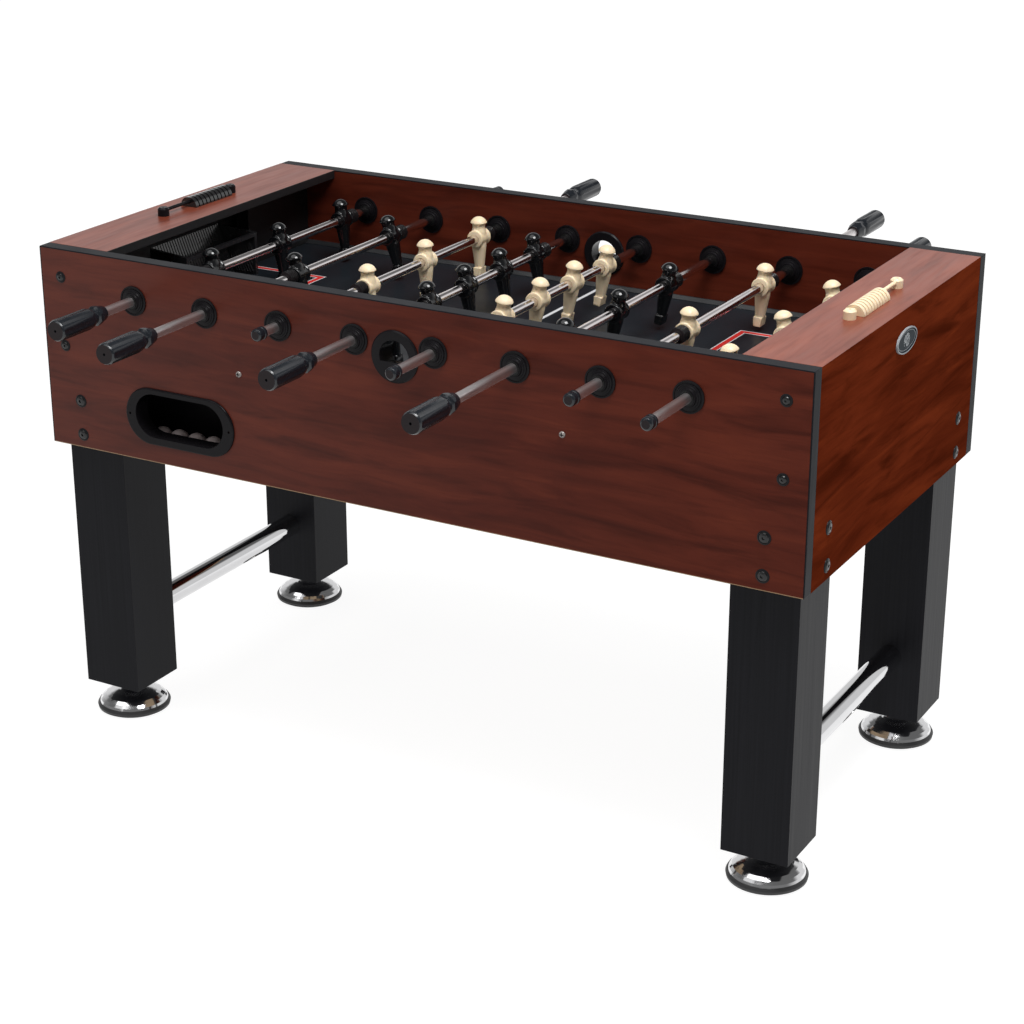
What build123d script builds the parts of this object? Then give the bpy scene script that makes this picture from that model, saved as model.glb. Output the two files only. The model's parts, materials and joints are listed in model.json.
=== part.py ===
"""A free-standing foosball table: cabinet, eight playing rods, ball return, scorers and legs.

Millimetres. +X runs along the table, +Y from the front side to the back side, +Z up.
The floor is Z = 0 and the origin is the middle of the whole table's box on the floor.
"""
from build123d import *
import os
from math import atan2, degrees, hypot

os.makedirs("parts", exist_ok=True)

# ---- driving dimensions -------------------------------------------------------------------
TABLE_LENGTH = 1384.0
TABLE_WIDTH = 725.0
TOP_Z = 862.0                # top of the cabinet
CABINET_BOTTOM_Z = 518.0     # lower edge of the four cabinet panels
ROD_Z = 794.0                # rod centres
FIELD_Z = 715.0              # playing surface
LEG_BOTTOM_Z = 60.0
SIDE_THICKNESS = 25.0        # long panels
END_THICKNESS = 15.0         # short panels and the decks above them
BAND_THICKNESS = 2.0         # plastic edge strip on the long panels
DECK_WIDTH = 122.0
END_WALL_X = 634.0           # playing face of the inner end walls
END_WALL_THICKNESS = 26.0
RECESS_HALF = 145.0          # half width of the goal's recess in an end wall
RECESS_BACKING = 5.0
RECESS_LAP = 15.0
FIELD_THICKNESS = 12.0
GAP = 0.4                    # between pieces that move past each other

ROD_PITCH = 143.0
ROD_RADIUS = 8.0
ROD_BORE_RADIUS = 5.6
RUN_CLEARANCE = 0.06         # radial, rod in its bushes and bumpers
GRIP_END_REACH = 814.0       # from a rod's middle to its grip end, less the outer player's offset
CAP_END_REACH = 691.5        # the same to its cap end

LEG_WIDTH = 112.5
LEG_WALL = 15.0
LEG_TOP_Z = 640.0
LEG_FLOOR = 18.0             # solid plate in the foot of each leg
STRETCHER_RADIUS = 21.0
STRETCHER_WALL = 1.6
STRETCHER_Z = 174.0

# One row per rod from the left end: players, their spacing, where their middle rests, the side
# of the grip, and how far the rod is turned at rest (degrees, heads towards +X).
FRONT = -1
BACK = 1
RODS = [
    (3, 200.0, 55.0, FRONT, -6.0),
    (2, 295.0, 50.0, FRONT, -14.5),
    (3, 184.0, 83.0, BACK, -1.0),
    (5, 118.5, -21.0, FRONT, -9.0),
    (5, 118.5, -32.0, BACK, 8.0),
    (3, 184.0, -29.0, FRONT, 9.5),
    (2, 295.0, 81.0, BACK, 4.5),
    (3, 200.0, -11.0, BACK, -13.0),
]

# ---- values worked out from them ----------------------------------------------------------
HALF_L = TABLE_LENGTH / 2
HALF_W = TABLE_WIDTH / 2
INNER_HALF_W = HALF_W - SIDE_THICKNESS
DECK_BOTTOM_Z = TOP_Z - END_THICKNESS
DECK_EDGE_X = HALF_L - DECK_WIDTH
LEG_X = HALF_L - END_THICKNESS - LEG_WIDTH / 2
LEG_Y = INNER_HALF_W - LEG_WIDTH / 2


def rod_x(index):
    """Centre of a rod along the table."""
    return (index - (len(RODS) - 1) / 2) * ROD_PITCH


def outer_player(count, spacing):
    """Distance from a rod's middle to its outermost player."""
    return spacing * (count - 1) / 2


def tips(count, spacing, rest, side):
    """Y of a rod's grip end and of its cap end."""
    outer = outer_player(count, spacing)
    return rest + side * (GRIP_END_REACH - outer), rest - side * (CAP_END_REACH - outer)


ALL_TIPS = [tip for rod in RODS for tip in tips(*rod[:4])]
# The rods stand out further at the back, so the cabinet's middle is forward of the origin.
CABINET_Y = -(max(ALL_TIPS) + min(ALL_TIPS)) / 2

CORNERS = [(sx, sy) for sx in (-1, 1) for sy in (-1, 1)]


# ---- helpers ------------------------------------------------------------------------------
def save(name, *solids):
    """Write one node, moved from the cabinet's middle to the table's origin."""
    shapes = [Pos(0, CABINET_Y, 0) * s for part in solids for s in part.solids()]
    whole = shapes[0] if len(shapes) == 1 else Compound(children=shapes)
    export_step(whole, f"parts/{name}.step")


def block(x0, x1, y0, y1, z0, z1):
    """Box between two corners."""
    middle = Pos((x0 + x1) / 2, (y0 + y1) / 2, (z0 + z1) / 2)
    return middle * Box(abs(x1 - x0), abs(y1 - y0), abs(z1 - z0))


def along_y(radius, y0, y1, x=0.0, z=0.0):
    """Cylinder along Y."""
    return Pos(x, (y0 + y1) / 2, z) * Rot(90, 0, 0) * Cylinder(radius, abs(y1 - y0))


def along_x(radius, x0, x1, y=0.0, z=0.0):
    """Cylinder along X."""
    return Pos((x0 + x1) / 2, y, z) * Rot(0, 90, 0) * Cylinder(radius, abs(x1 - x0))


def turned(points):
    """Solid of revolution about Z from (radius, height) points that start and end on the axis."""
    outline = Plane.XZ * Polyline(*points, close=True)
    return revolve(make_face(outline), Axis.Z)


def turned_ring(points):
    """Solid of revolution about Z from a closed (radius, height) outline clear of the axis."""
    return revolve(make_face(Plane.XZ * Polyline(*points, close=True)), Axis.Z)


def lay_y(part, direction):
    """Turn a solid made along +Z to lie along +Y or -Y."""
    return Rot(-90 * direction, 0, 0) * part


def stadium(length, height, y0, y1, x, z):
    """Round-ended bar: length along X, height along Z, between two Y values."""
    plane = Plane(origin=(x, y1, z), x_dir=(1, 0, 0), z_dir=(0, -1, 0))
    return extrude(plane * SlotOverall(length, height), y1 - y0)


# ---- fasteners ----------------------------------------------------------------------------
WALL_SCREW_X = 651.0         # long panels to the inner end walls
WALL_SCREW_ZS = (813.5, 695.0)
LEG_BOLT_X = 626.0
LEG_BOLT_Y = 280.0
LEG_BOLT_ZS = (601.0, 541.0)
FIELD_SCREW_X = 295.0
FIELD_SCREW_Z = FIELD_Z - FIELD_THICKNESS / 2 - 8.0
HEAD_HEIGHT = 3.2
# Head radius, shank radius, shank length.
WALL_SCREW = (6.5, 2.5, 50.0)
SIDE_LEG_BOLT = (8.5, 4.0, SIDE_THICKNESS + LEG_WALL)
END_LEG_BOLT = (8.5, 4.0, END_THICKNESS + LEG_WALL)
FIELD_SCREW = (5.0, 2.0, 40.0)


def bolt(head_radius, shank_radius, shank_length):
    """Button-head bolt along +Z: head above Z = 0, shank below."""
    head = turned([
        (0, 0), (head_radius, 0), (head_radius, HEAD_HEIGHT * 0.35),
        (head_radius * 0.82, HEAD_HEIGHT * 0.8), (head_radius * 0.5, HEAD_HEIGHT), (0, HEAD_HEIGHT),
    ])
    socket = Pos(0, 0, HEAD_HEIGHT) * Cylinder(head_radius * 0.3, HEAD_HEIGHT)
    shank = Pos(0, 0, -shank_length / 2) * Cylinder(shank_radius, shank_length)
    return head - socket + shank


def side_bolts():
    """Fasteners on a long panel, as (x, z, sizes)."""
    rows = [(sx * WALL_SCREW_X, z, WALL_SCREW) for sx in (-1, 1) for z in WALL_SCREW_ZS]
    rows += [(sx * LEG_BOLT_X, z, SIDE_LEG_BOLT) for sx in (-1, 1) for z in LEG_BOLT_ZS]
    rows += [(sx * FIELD_SCREW_X, FIELD_SCREW_Z, FIELD_SCREW) for sx in (-1, 1)]
    return rows


def end_bolts():
    """Leg bolts on a short panel, as (y, z)."""
    return [(sy * LEG_BOLT_Y, z) for sy in (-1, 1) for z in LEG_BOLT_ZS]


def all_bolts():
    """Every fastener in place."""
    placed = []
    for side in (-1, 1):
        for x, z, sizes in side_bolts():
            placed.append(Pos(x, side * HALF_W, z) * lay_y(bolt(*sizes), side))
        for y, z in end_bolts():
            placed.append(Pos(side * HALF_L, y, z) * Rot(0, 90 * side, 0) * bolt(*END_LEG_BOLT))
    return placed


def side_holes():
    """The holes that the fasteners on the long panels go through."""
    holes = []
    for side in (-1, 1):
        for x, z, (_, shank, length) in side_bolts():
            holes.append(along_y(shank, side * HALF_W, side * (HALF_W - length), x, z))
    return holes


def end_holes():
    """The holes that the fasteners on the short panels go through."""
    _, shank, length = END_LEG_BOLT
    holes = []
    for side in (-1, 1):
        for y, z in end_bolts():
            holes.append(along_x(shank, side * HALF_L, side * (HALF_L - length), y, z))
    return holes


# ---- cabinet ------------------------------------------------------------------------------
BEARING_SLEEVE_RADIUS = 14.0
RETURN_X = -418.5            # ball return, on the front only
RETURN_Z = 599.0
RETURN_LENGTH = 219.0        # outside of its bezel
RETURN_HEIGHT = 98.5
RETURN_WALL = 3.0
RETURN_MOUTH_LENGTH = 178.0
RETURN_MOUTH_HEIGHT = 76.0
RETURN_MOUTH_Z = 601.0
CUP_X = 3.0                  # ball serve cups, one in each long panel
CUP_Z = 777.0
CUP_SLEEVE_RADIUS = 32.0


def side_panel(side):
    """Long panel inside its edge strips, with every hole that goes through it."""
    x = HALF_L - BAND_THICKNESS
    inner = side * (INNER_HALF_W - 1)
    outer = side * (HALF_W + 1)
    panel = block(-x, x, side * INNER_HALF_W, side * HALF_W, CABINET_BOTTOM_Z, TOP_Z - BAND_THICKNESS)
    cuts = [along_y(BEARING_SLEEVE_RADIUS, inner, outer, rod_x(i), ROD_Z) for i in range(len(RODS))]
    cuts.append(along_y(CUP_SLEEVE_RADIUS, inner, outer, CUP_X, CUP_Z))
    if side == FRONT:
        cuts.append(return_sleeve(-HALF_W - 1, -INNER_HALF_W + 1))
    return panel - cuts - side_holes()


def return_sleeve(y0, y1):
    """Outside of the ball return's tunnel."""
    length = RETURN_MOUTH_LENGTH + 2 * RETURN_WALL
    height = RETURN_MOUTH_HEIGHT + 2 * RETURN_WALL
    return stadium(length, height, y0, y1, RETURN_X, RETURN_MOUTH_Z)


def edge_bands():
    """Plastic strips on the top edge and the two upright ends of each long panel."""
    strips = []
    for side in (-1, 1):
        y0, y1 = sorted((side * INNER_HALF_W, side * HALF_W))
        top = block(-HALF_L, HALF_L, y0, y1, TOP_Z - BAND_THICKNESS, TOP_Z)
        strips.append(top)
        for end in (-1, 1):
            inner = end * (HALF_L - BAND_THICKNESS)
            strips.append(block(inner, end * HALF_L, y0, y1, CABINET_BOTTOM_Z, TOP_Z - BAND_THICKNESS))
    return strips


def mitred(outline):
    """Extrude a right-hand (x, z) outline across the cabinet, and mirror it for the left end."""
    plane = Plane(origin=(0, INNER_HALF_W, 0), x_dir=(1, 0, 0), z_dir=(0, -1, 0))
    right = extrude(plane * make_face(Polyline(*outline, close=True)), 2 * INNER_HALF_W)
    return [right, mirror(right, Plane.YZ)]


def end_panels():
    """Short panels, mitred to the decks along their top edge."""
    inside = HALF_L - END_THICKNESS
    panels = mitred([
        (inside, CABINET_BOTTOM_Z), (HALF_L, CABINET_BOTTOM_Z), (HALF_L, TOP_Z), (inside, DECK_BOTTOM_Z),
    ])
    return [panel - end_holes() for panel in panels]


def end_decks():
    """Flat decks over the two ends of the cabinet."""
    inside = HALF_L - END_THICKNESS
    return mitred([
        (DECK_EDGE_X, DECK_BOTTOM_Z), (inside, DECK_BOTTOM_Z), (HALF_L, TOP_Z), (DECK_EDGE_X, TOP_Z),
    ])


def end_walls():
    """Inner end walls from the tops of the legs to the decks, each with a backed recess for its goal."""
    walls = []
    y = INNER_HALF_W
    outside = HALF_L - END_THICKNESS
    for end in (-1, 1):
        back = end * (END_WALL_X + END_WALL_THICKNESS)
        wall = block(end * END_WALL_X, back, -y, y, LEG_TOP_Z, DECK_BOTTOM_Z)
        recess = block(end * (END_WALL_X - 1), back + end, -RECESS_HALF, RECESS_HALF, FIELD_Z, TOP_Z)
        walls.append(wall - side_holes() - recess)
        inside = end * (outside - RECESS_BACKING)
        backing_half = RECESS_HALF + RECESS_LAP
        walls.append(block(inside, end * outside, -backing_half, backing_half, LEG_TOP_Z, DECK_BOTTOM_Z))
    return walls


# ---- playing field and goals --------------------------------------------------------------
GOAL_MOUTH_X = 587.0
GOAL_HALF_WIDTH = 98.0
GOAL_HEIGHT = 71.0           # clear height under the crossbar
GOAL_BAR = 7.0
GOAL_RIB_PITCH = 7.0
GOAL_RIB = 1.4
GOAL_SKIN = 3.2
GOAL_BACK = [(668.0, 800.0), (660.0, 779.0), (651.0, 757.0), (643.0, 736.0), (637.0, FIELD_Z)]
CHEEK_RIB_RADIUS = 1.1
CHEEK_RIB_PITCH = 4.6
CHEEK_RIB_START = 600.0
CHEEK_RIB_END = 644.0
CHEEK_RIB_TOP = 775.0        # height of the first cheek rib's top
CHEEK_RIB_DROP = 0.72        # how much lower each next top is, per mm of X
CHEEK_RIB_LEAN = 0.45        # towards the field, per mm of drop
CHEEK_RIB_FOOT = 718.5
STRIP_HEIGHT = 7.0
STRIP_WIDTH = 9.0
STRIP_TOP = 3.0
STRIP_TOE = 1.0


def playfield():
    """Field board with a drop hole behind each goal mouth."""
    x = END_WALL_X
    y = INNER_HALF_W
    board = block(-x, x, -y, y, FIELD_Z - FIELD_THICKNESS, FIELD_Z)
    drop = GOAL_MOUTH_X + GOAL_BAR
    for end in (-1, 1):
        board -= block(end * drop, end * (x + 1), -GOAL_HALF_WIDTH, GOAL_HALF_WIDTH, 0, FIELD_Z + 1)
    return board - side_holes()


def playfield_ramps():
    """Low bevelled strips that keep a ball off the long walls."""
    y = INNER_HALF_W
    top = FIELD_Z + STRIP_HEIGHT
    outline = [
        (y - STRIP_WIDTH, FIELD_Z), (y, FIELD_Z), (y, top), (y - STRIP_TOP, top),
        (y - STRIP_WIDTH, FIELD_Z + STRIP_TOE),
    ]
    plane = Plane(origin=(-END_WALL_X, 0, 0), x_dir=(0, 1, 0), z_dir=(1, 0, 0))
    back = extrude(plane * make_face(Polyline(*outline, close=True)), 2 * END_WALL_X)
    return [back, mirror(back, Plane.XZ)]


def across(outline, half_width, y=0.0):
    """Extrude an (x, z) outline across the table, centred on a Y value."""
    plane = Plane(origin=(0, y + half_width, 0), x_dir=(1, 0, 0), z_dir=(0, -1, 0))
    return extrude(plane * make_face(Polyline(*outline, close=True)), 2 * half_width)


def cheek_ribs(side):
    """Slanting half-round ribs on the inside of one cheek of the right-hand goal."""
    ribs = []
    front = GOAL_MOUTH_X + GOAL_BAR
    x = CHEEK_RIB_START
    while x < CHEEK_RIB_END:
        top = CHEEK_RIB_TOP - CHEEK_RIB_DROP * (x - CHEEK_RIB_START)
        drop = min(top - CHEEK_RIB_FOOT, (x - front) / CHEEK_RIB_LEAN)
        run = CHEEK_RIB_LEAN * drop
        rib = Rot(0, degrees(atan2(run, drop)), 0) * Cylinder(CHEEK_RIB_RADIUS, hypot(run, drop))
        ribs.append(Pos(x - run / 2, side * GOAL_HALF_WIDTH, top - drop / 2) * rib)
        x += CHEEK_RIB_PITCH
    return ribs


def goal():
    """Moulded goal at the right-hand end: posts, crossbar, ribbed cheeks and sloping ribbed back."""
    bar_z = FIELD_Z + GOAL_HEIGHT
    bar_top = bar_z + GOAL_BAR
    front = GOAL_MOUTH_X
    bar_back = GOAL_MOUTH_X + GOAL_BAR
    outside = [(x + GOAL_SKIN, z) for x, z in GOAL_BACK]
    cheek = across([(front, FIELD_Z), *reversed(outside), (front, bar_top)], GOAL_HALF_WIDTH + GOAL_BAR)
    half = GOAL_HALF_WIDTH
    cheek -= block(front - 1, HALF_L, -half, half, FIELD_Z - 1, TOP_Z)
    bar = block(front, bar_back, -half, half, bar_z, bar_top)
    back = across([*GOAL_BACK, *reversed(outside)], half)
    rib_face = [(x - GOAL_RIB, z) for x, z in GOAL_BACK]
    rib_root = [(x + 1, z) for x, z in reversed(GOAL_BACK)]
    count = int(2 * half / GOAL_RIB_PITCH)
    ribs = []
    for i in range(count):
        y = (i - (count - 1) / 2) * GOAL_RIB_PITCH
        ribs.append(across([*rib_face, *rib_root], GOAL_RIB / 2, y))
    return cheek + bar + back + ribs + cheek_ribs(-1) + cheek_ribs(1)


# ---- ball return and serve cups -----------------------------------------------------------
BALL_RADIUS = 17.5
BALLS = 4
BALL_GAP = 0.2
BALL_SETBACK = 46.5          # ball centres behind the panel's face
BALL_OFFSET = -22.0          # middle of the row from the tray's middle
BEZEL_THICKNESS = 4.0
BEZEL_ROUND = 2.5
BEZEL_SCREW_RADIUS = 2.2
RETURN_DEPTH = 92.0
POCKET_HALF = 118.0          # half length of the pocket behind the panel
POCKET_FLOOR_Z = 529.0
CHIMNEY = (-35.0, 75.0)      # opening in the pocket's roof, from the tray's middle
BOARD_THICKNESS = 4.0        # the two boards under the field
BOARD_MIDDLE_Z = 656.0
BOARD_FALL = 10.0            # from each end to the slot above the tray
BOARD_TILT = 1.0             # degrees, down towards the front
BOARD_RAIL = 18.0
BOARD_SLOT = 52.0
BOARD_SPLIT = 20.0           # the slot's middle from the tray's middle
BOARD_CLEARANCE = 1.5
CUP_FLANGE_RADIUS = 42.5
CUP_INNER_FLANGE_RADIUS = 40.0
CUP_FLANGE = 4.0
CUP_MOUTH_RADIUS = 27.0
CUP_THROAT_RADIUS = 24.0
CUP_SHELF = 10.0             # floor below the cup's centre, where a ball rolls in
CUP_SHELF_TILT = 13.0        # degrees, down towards the field


def return_tray():
    """Moulded oval bezel and tunnel, with a deeper pocket behind the panel that is open at the top."""
    face = -HALF_W - BEZEL_THICKNESS
    back = -HALF_W + RETURN_DEPTH
    wall = RETURN_WALL
    bezel = stadium(RETURN_LENGTH, RETURN_HEIGHT, face, -HALF_W, RETURN_X, RETURN_Z)
    bezel = fillet(bezel.faces().sort_by(Axis.Y)[0].edges(), BEZEL_ROUND)
    x0, x1 = RETURN_X - POCKET_HALF, RETURN_X + POCKET_HALF
    roof = RETURN_MOUTH_Z + RETURN_MOUTH_HEIGHT / 2
    pocket = block(x0, x1, -INNER_HALF_W, back, POCKET_FLOOR_Z - wall, roof + wall)
    shell = bezel + return_sleeve(-HALF_W, -INNER_HALF_W) + pocket
    shell -= block(x0 + wall, x1 - wall, -INNER_HALF_W + wall, back - wall, POCKET_FLOOR_Z, roof)
    inside = -INNER_HALF_W + wall + 1
    shell -= stadium(RETURN_MOUTH_LENGTH, RETURN_MOUTH_HEIGHT, face - 1, inside, RETURN_X, RETURN_MOUTH_Z)
    x0, x1 = (RETURN_X + reach for reach in CHIMNEY)
    shell -= block(x0, x1, -INNER_HALF_W + wall, back - wall, roof - 1, roof + wall + 1)
    screw = RETURN_LENGTH / 2 - 9
    for x in (RETURN_X - screw, RETURN_X + screw):
        shell -= along_y(BEZEL_SCREW_RADIUS, face - 1, -HALF_W, x, RETURN_Z)
    return shell


def balls():
    """A row of balls on the floor of the pocket."""
    z = POCKET_FLOOR_Z + BALL_RADIUS
    y = -HALF_W + BALL_SETBACK
    pitch = 2 * BALL_RADIUS + BALL_GAP
    first = RETURN_X + BALL_OFFSET - (BALLS - 1) / 2 * pitch
    return [Pos(first + i * pitch, y, z) * Sphere(BALL_RADIUS) for i in range(BALLS)]


def return_boards():
    """Two tilted boards under the field that bring balls from both goals to the tray."""
    boards = []
    front = -INNER_HALF_W + BOARD_CLEARANCE
    back = GOAL_HALF_WIDTH + 14.0
    split = RETURN_X + BOARD_SPLIT
    for end in (-1, 1):
        x0, x1 = sorted((split + end * BOARD_SLOT / 2, end * (END_WALL_X - BOARD_CLEARANCE)))
        tilt = degrees(atan2(BOARD_FALL, x1 - x0))
        board = Box(x1 - x0, back - front, BOARD_THICKNESS)
        rail = Box(x1 - x0, BOARD_THICKNESS, BOARD_RAIL)
        rail = Pos(0, (back - front - BOARD_THICKNESS) / 2, (BOARD_RAIL + BOARD_THICKNESS) / 2) * rail
        middle = Pos((x0 + x1) / 2, (front + back) / 2, BOARD_MIDDLE_Z)
        boards.append(middle * Rot(BOARD_TILT, -end * tilt, 0) * (board + rail))
    return boards


def serve_cup(side):
    """Round serving cup through a long panel: outer flange, flat-floored funnel and inner flange."""
    depth = SIDE_THICKNESS
    inner_face = -depth - CUP_FLANGE
    outside = turned([
        (0, inner_face), (CUP_INNER_FLANGE_RADIUS - 2, inner_face), (CUP_INNER_FLANGE_RADIUS, inner_face + 2),
        (CUP_INNER_FLANGE_RADIUS, -depth), (CUP_SLEEVE_RADIUS, -depth), (CUP_SLEEVE_RADIUS, 0),
        (CUP_FLANGE_RADIUS, 0), (CUP_FLANGE_RADIUS, CUP_FLANGE - 2), (CUP_FLANGE_RADIUS - 2, CUP_FLANGE),
        (0, CUP_FLANGE),
    ])
    funnel = turned([
        (0, inner_face - 1), (CUP_THROAT_RADIUS, inner_face - 1), (CUP_MOUTH_RADIUS, CUP_FLANGE + 1),
        (0, CUP_FLANGE + 1),
    ])
    reach = 4 * CUP_FLANGE_RADIUS
    above_shelf = Rot(side * CUP_SHELF_TILT, 0, 0) * Pos(0, 0, reach / 2) * Box(reach, reach, reach)
    above_shelf = Pos(0, 0, -CUP_SHELF) * above_shelf
    cup = lay_y(outside, side) - (lay_y(funnel, side) & above_shelf)
    return Pos(CUP_X, side * HALF_W, CUP_Z) * cup


# ---- rod bearings -------------------------------------------------------------------------
BEARING_RADIUS = 25.0
BEARING_RIM = 2.5
BUSH_RADIUS = 11.0
BEARING_BOSS = 9.0           # how far the boss stands out on each face of the panel


def bearing_face():
    """Outline of the housing's stepped face, from the rim in to the bush, above the panel."""
    r = BEARING_RADIUS
    return [
        (r, 0), (r, BEARING_RIM), (r - 2.5, BEARING_RIM), (r - 3, 1.6), (r - 4.5, 1.6), (r - 5, 3.2),
        (r - 7.5, 3.6), (r - 8, 4.8), (r - 10.5, 5.2), (r - 11.5, BEARING_BOSS - 1),
        (BUSH_RADIUS, BEARING_BOSS - 1),
    ]


def bearing_housing():
    """Split flange housing along +Z, its outer panel face at Z = 0."""
    outer = bearing_face()
    inner = [(radius, -SIDE_THICKNESS - height) for radius, height in reversed(outer)]
    sleeve = [(BEARING_SLEEVE_RADIUS, -SIDE_THICKNESS), (BEARING_SLEEVE_RADIUS, 0)]
    return turned_ring(inner + sleeve + outer)


def bearing_bush():
    """Plain nylon bush that the rod runs in."""
    bore = ROD_RADIUS + RUN_CLEARANCE
    z0, z1 = -SIDE_THICKNESS - BEARING_BOSS, BEARING_BOSS
    return turned_ring([(bore, z0), (BUSH_RADIUS, z0), (BUSH_RADIUS, z1), (bore, z1)])


def on_every_bearing(part):
    """Copies of a bearing piece at both ends of every rod."""
    places = [(rod_x(i), side) for side in (-1, 1) for i in range(len(RODS))]
    return [Pos(x, side * HALF_W, ROD_Z) * lay_y(part, side) for x, side in places]


# ---- rods ---------------------------------------------------------------------------------
HUB_HALF = 16.0              # half the length of a player's hub along the rod
HUB_RADIUS = 15.7
HUB_FLANGE = 3.0
HEAD_TOP = 38.5
HEAD_BRIM = 28.0
HEAD_RADIUS = 15.0
NECK_RADIUS = 11.2
LEG_TOP_RADIUS = 12.9
LEG_END_RADIUS = 8.6
FOOT_TOP = -54.0
FOOT_BOTTOM = -70.0
FOOT_TOP_SIZE = (15.5, 21.0)
FOOT_BOTTOM_SIZE = (12.8, 22.5)
BUMPER_LENGTH = 22.0
BUMPER_RADIUS = 13.2
BUMPER_ROOT = 10.0
BUMPER_RIBS = 5
GRIP_LENGTH = 118.0
GRIP_RADIUS = 17.6
GRIP_SOCKET = 60.0           # how far the rod goes into its grip
GRIP_FLUTES = 8
FLUTE_RADIUS = 14.0
FLUTE_DEPTH = 1.3
FLUTE_ENDS = (36.0, 114.0)
COLLAR_RADIUS = 16.4
COLLAR_FLAT = 15.3           # distance of the collar's eight flats from the axis
VENT_RADIUS = 2.2
CAP_LENGTH = 20.0
CAP_RADIUS = 10.6
CAP_SOCKET = 13.0


def player():
    """One player about its hub: domed head, neck, flanged hub, tapered leg and wedge foot."""
    rise = HEAD_TOP - HEAD_BRIM
    dome_radius = (HEAD_RADIUS ** 2 + rise ** 2) / (2 * rise)
    dome = Pos(0, 0, HEAD_TOP - dome_radius) * Sphere(dome_radius)
    dome &= Pos(0, 0, HEAD_BRIM + dome_radius) * Box(4 * dome_radius, 4 * dome_radius, 2 * dome_radius)
    neck = turned([
        (0, 4), (14.0, 4), (13.2, 12), (NECK_RADIUS, 19), (NECK_RADIUS + 0.4, 24), (12.8, 27),
        (HEAD_RADIUS, HEAD_BRIM - 0.8), (HEAD_RADIUS, HEAD_BRIM), (0, HEAD_BRIM),
    ])
    flange = HUB_HALF - HUB_FLANGE
    hub = Rot(90, 0, 0) * turned([
        (0, -HUB_HALF), (HUB_RADIUS - 0.8, -HUB_HALF), (HUB_RADIUS, -HUB_HALF + 0.8), (HUB_RADIUS, -flange),
        (14.0, -flange + 1.5), (14.6, 0), (14.0, flange - 1.5),
        (HUB_RADIUS, flange), (HUB_RADIUS, HUB_HALF - 0.8), (HUB_RADIUS - 0.8, HUB_HALF), (0, HUB_HALF),
    ])
    leg = turned([
        (0, FOOT_TOP - 1), (LEG_END_RADIUS, FOOT_TOP - 1), (LEG_END_RADIUS, FOOT_TOP), (11.0, -32),
        (LEG_TOP_RADIUS, -16), (LEG_TOP_RADIUS, -6), (0, -6),
    ])
    top_face = Pos(0, 0, FOOT_TOP) * Rectangle(*FOOT_TOP_SIZE)
    bottom_face = Pos(0, 0, FOOT_BOTTOM) * Rectangle(*FOOT_BOTTOM_SIZE)
    foot = loft([bottom_face, top_face])
    bore = along_y(ROD_RADIUS, -HUB_HALF - 1, HUB_HALF + 1)
    return dome + neck + hub + leg + foot - bore


def bumper():
    """Ribbed rubber stop along +Z from Z = 0."""
    bore = ROD_RADIUS + RUN_CLEARANCE
    root = BUMPER_ROOT
    outline = [(bore, 0), (root, 0)]
    pitch = BUMPER_LENGTH / BUMPER_RIBS
    for i in range(BUMPER_RIBS):
        z = i * pitch
        outline += [
            (BUMPER_RADIUS - 0.5, z + 0.5), (BUMPER_RADIUS, z + 1.0), (BUMPER_RADIUS, z + 2.0),
            (BUMPER_RADIUS - 0.5, z + 2.5), (root, z + 3.0), (root, z + pitch - 0.2),
        ]
    outline += [(root, BUMPER_LENGTH), (bore, BUMPER_LENGTH)]
    return turned_ring(outline)


def grip():
    """Handle along +Z with eight shallow flutes, from its collar at Z = 0 to its flat end face."""
    body = turned([
        (0, 0), (11.0, 0), (12.0, 2), (COLLAR_RADIUS, 19), (COLLAR_RADIUS, 22), (12.4, 25), (12.2, 29),
        (15.6, 34), (GRIP_RADIUS, 44), (GRIP_RADIUS, 112), (16.9, 115), (15.2, GRIP_LENGTH), (0, GRIP_LENGTH),
    ])
    z0, z1 = FLUTE_ENDS
    flute = Pos(GRIP_RADIUS + FLUTE_RADIUS - FLUTE_DEPTH, 0, (z0 + z1) / 2) * Cylinder(FLUTE_RADIUS, z1 - z0)
    flat = Pos(COLLAR_FLAT + COLLAR_RADIUS / 2, 0, 12) * Box(COLLAR_RADIUS, 2 * COLLAR_RADIUS, 24)
    for i in range(GRIP_FLUTES):
        turn = Rot(0, 0, 360 * i / GRIP_FLUTES)
        body = body - turn * flute - turn * flat
    socket = Pos(0, 0, GRIP_SOCKET / 2) * Cylinder(ROD_RADIUS, GRIP_SOCKET)
    vent = Pos(0, 0, GRIP_LENGTH) * Cylinder(VENT_RADIUS, 12)
    return body - socket - vent


def cap():
    """Rubber end cap along +Z from its open end at Z = 0: neck ring, barrel and flat rounded end."""
    r = CAP_RADIUS
    body = turned([
        (0, 0), (r - 0.8, 0), (r, 0.8), (r, 5.0), (r - 1.2, 5.8), (r - 1.2, 6.6), (r - 0.4, 7.6),
        (r - 0.2, 15.5), (r - 1.0, 18.0), (r - 2.6, 19.5), (r - 4.0, CAP_LENGTH), (0, CAP_LENGTH),
    ])
    return body - Pos(0, 0, CAP_SOCKET / 2) * Cylinder(ROD_RADIUS, CAP_SOCKET)


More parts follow.
